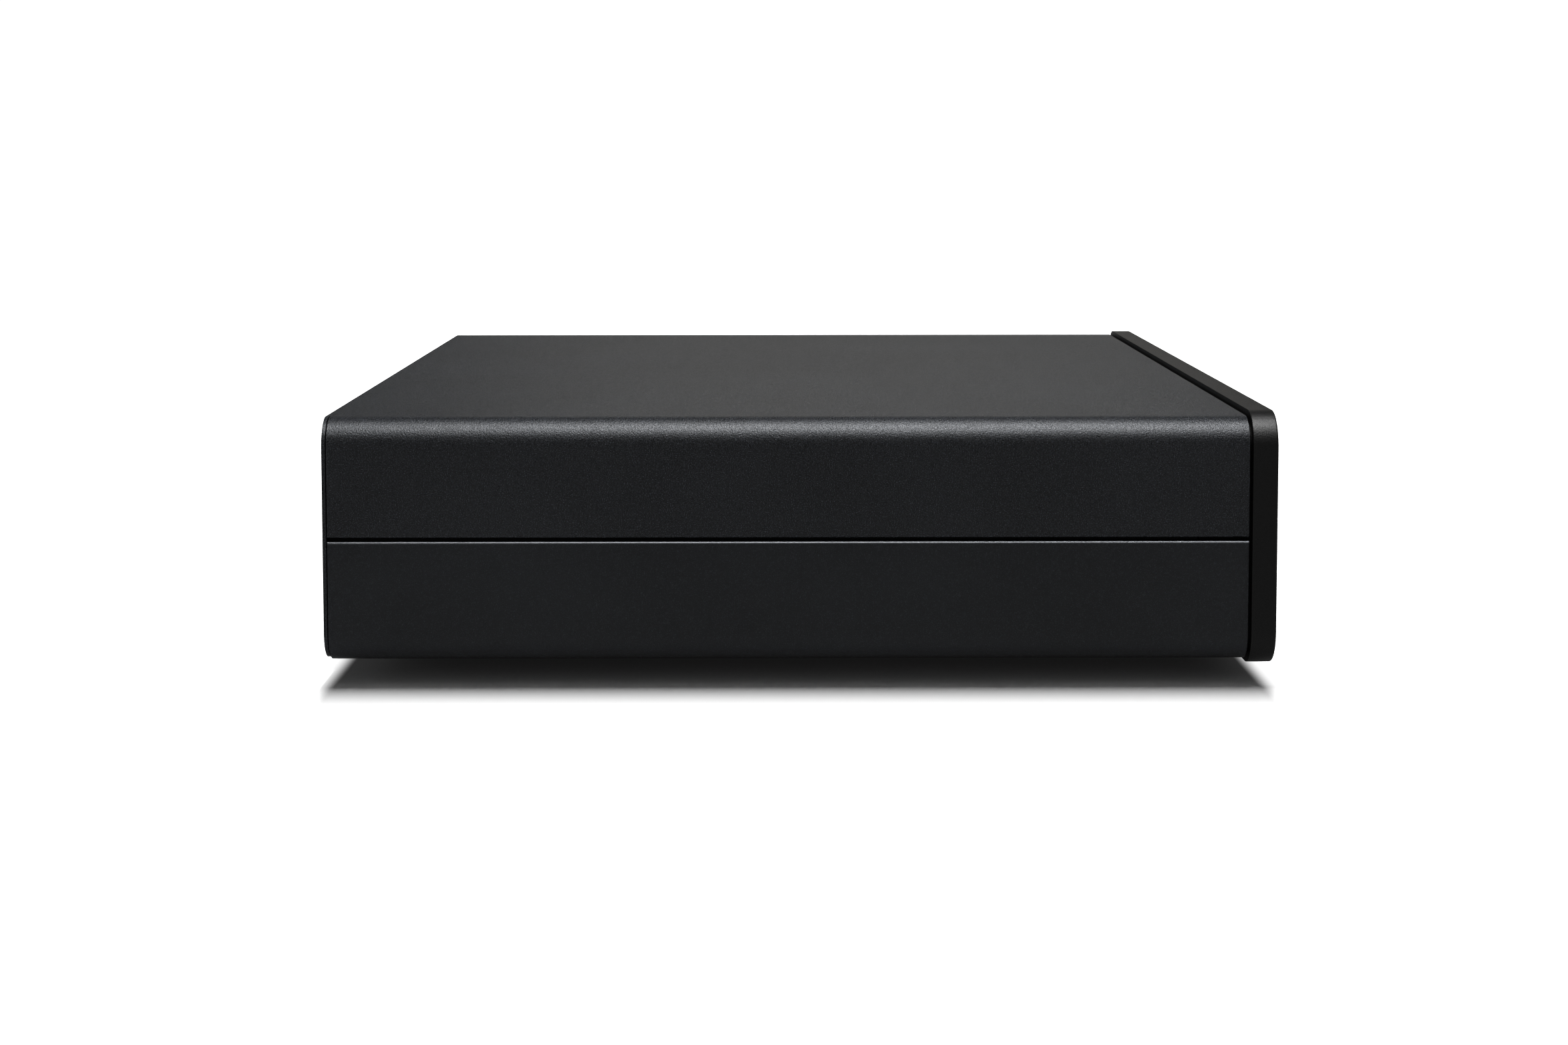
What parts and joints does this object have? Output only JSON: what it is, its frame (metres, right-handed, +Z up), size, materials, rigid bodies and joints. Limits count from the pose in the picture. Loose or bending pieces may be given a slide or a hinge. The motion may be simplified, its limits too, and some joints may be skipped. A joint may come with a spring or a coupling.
{
  "type": "network music streamer",
  "caption": "Compact half-width network music streamer: black folded steel case, thick front plate with sprung push buttons, and a rear panel of audio and data sockets.",
  "frame": {"origin": "Middle of the overall width and depth, on the surface under the feet", "axes": "+X runs to the right as the front is faced and is the longest side, -Y is the front, +Z is up and is the shortest side"},
  "size_m": [0.215, 0.191, 0.0515],
  "materials": {
    "case_black": "fine textured powder coat",
    "plate_black": "bead blasted, black anodised",
    "button_black": "black anodised",
    "screw_black": "black oxide",
    "zinc_steel": "zinc plated",
    "foot_rubber": "matt moulded rubber",
    "board_green": "solder resist",
    "module_blue": "solder resist",
    "black_plastic": "moulded",
    "cream_plastic": "moulded",
    "white_plastic": "moulded",
    "clear_plastic": "polished acrylic",
    "orange_plastic": "moulded",
    "red_plastic": "moulded",
    "nickel": "nickel plated",
    "gold_plate": "gold plated",
    "heatsink": "extruded",
    "capacitor_black": "shrink sleeve",
    "capacitor_blue": "shrink sleeve",
    "ferrite": "sintered",
    "copper_wire": "enamelled copper",
    "fuse_glass": "clear",
    "film": "sheet",
    "red_wire": "insulated wire",
    "ribbon_grey": "flat cable"
  },
  "bodies": {
    "case_body": {"lower_chassis": "case_black", "top_cover": "case_black", "rear_panel": "case_black", "front_fascia": "plate_black", "front_subpanel": "case_black", "left_joining_strip": "case_black", "right_joining_strip": "case_black", "foot_front_left": "foot_rubber", "foot_front_right": "foot_rubber", "foot_rear_left": "foot_rubber", "foot_rear_right": "foot_rubber", "case_screws": "screw_black", "fascia_screws": "zinc_steel", "board_screws": "zinc_steel", "board_standoffs": "zinc_steel", "push_switches": "black_plastic", "front_board": "board_green", "status_light_pipe": "clear_plastic", "status_led": "white_plastic", "main_board": "board_green", "main_chips": "black_plastic", "audio_capacitors": "capacitor_blue", "board_connectors": "cream_plastic", "network_module_board": "module_blue", "network_module_shield": "nickel", "module_heatsink": "heatsink", "power_supply_board": "board_green", "insulation_sheet": "film", "mains_fuse": "fuse_glass", "filter_choke": "copper_wire", "bulk_capacitor": "capacitor_black", "switching_transformer": "ferrite", "rectifier_heatsink": "heatsink", "output_capacitors": "capacitor_black", "power_harness": "red_wire", "ribbon_cable": "ribbon_grey", "antenna_leads": "black_plastic", "mains_inlet": "black_plastic", "mains_inlet_pins": "nickel", "usb_socket": "nickel", "usb_tongue": "white_plastic", "ethernet_jack": "nickel", "ethernet_contacts": "gold_plate", "optical_socket": "black_plastic", "antenna_sockets": "gold_plate", "coaxial_jack_body": "orange_plastic", "analogue_jack_block": "red_plastic", "phono_shells": "nickel", "phono_contacts": "gold_plate"},
    "power_push": {"power_button": "button_black", "power_switch_plunger": "black_plastic"},
    "preset_push_1": {"preset_button_1": "button_black", "preset_switch_plunger_1": "black_plastic"},
    "preset_push_2": {"preset_button_2": "button_black", "preset_switch_plunger_2": "black_plastic"},
    "preset_push_3": {"preset_button_3": "button_black", "preset_switch_plunger_3": "black_plastic"},
    "preset_push_4": {"preset_button_4": "button_black", "preset_switch_plunger_4": "black_plastic"},
    "shutter_flap": {"optical_shutter": "black_plastic"}
  },
  "joints": [
    {"name": "power_press", "type": "slide", "parent": "case_body", "child": "power_push", "axis": [0, 1, 0], "range_m": [0, 0.0005], "stiffness_N_per_m": 1000, "springref_m": -0.0005},
    {"name": "preset_press_1", "type": "slide", "parent": "case_body", "child": "preset_push_1", "axis": [0, 1, 0], "range_m": [0, 0.0005], "stiffness_N_per_m": 1000, "springref_m": -0.0005},
    {"name": "preset_press_2", "type": "slide", "parent": "case_body", "child": "preset_push_2", "axis": [0, 1, 0], "range_m": [0, 0.0005], "stiffness_N_per_m": 1000, "springref_m": -0.0005},
    {"name": "preset_press_3", "type": "slide", "parent": "case_body", "child": "preset_push_3", "axis": [0, 1, 0], "range_m": [0, 0.0005], "stiffness_N_per_m": 1000, "springref_m": -0.0005},
    {"name": "preset_press_4", "type": "slide", "parent": "case_body", "child": "preset_push_4", "axis": [0, 1, 0], "range_m": [0, 0.0005], "stiffness_N_per_m": 1000, "springref_m": -0.0005},
    {"name": "shutter_swing", "type": "hinge", "parent": "case_body", "child": "shutter_flap", "pos_m": [0.032, 0.0863, 0.02095], "axis": [-1, 0, 0], "range_deg": [0, 80], "stiffness_Nm_per_rad": 0.0002, "springref_deg": -17.19}
  ]
}
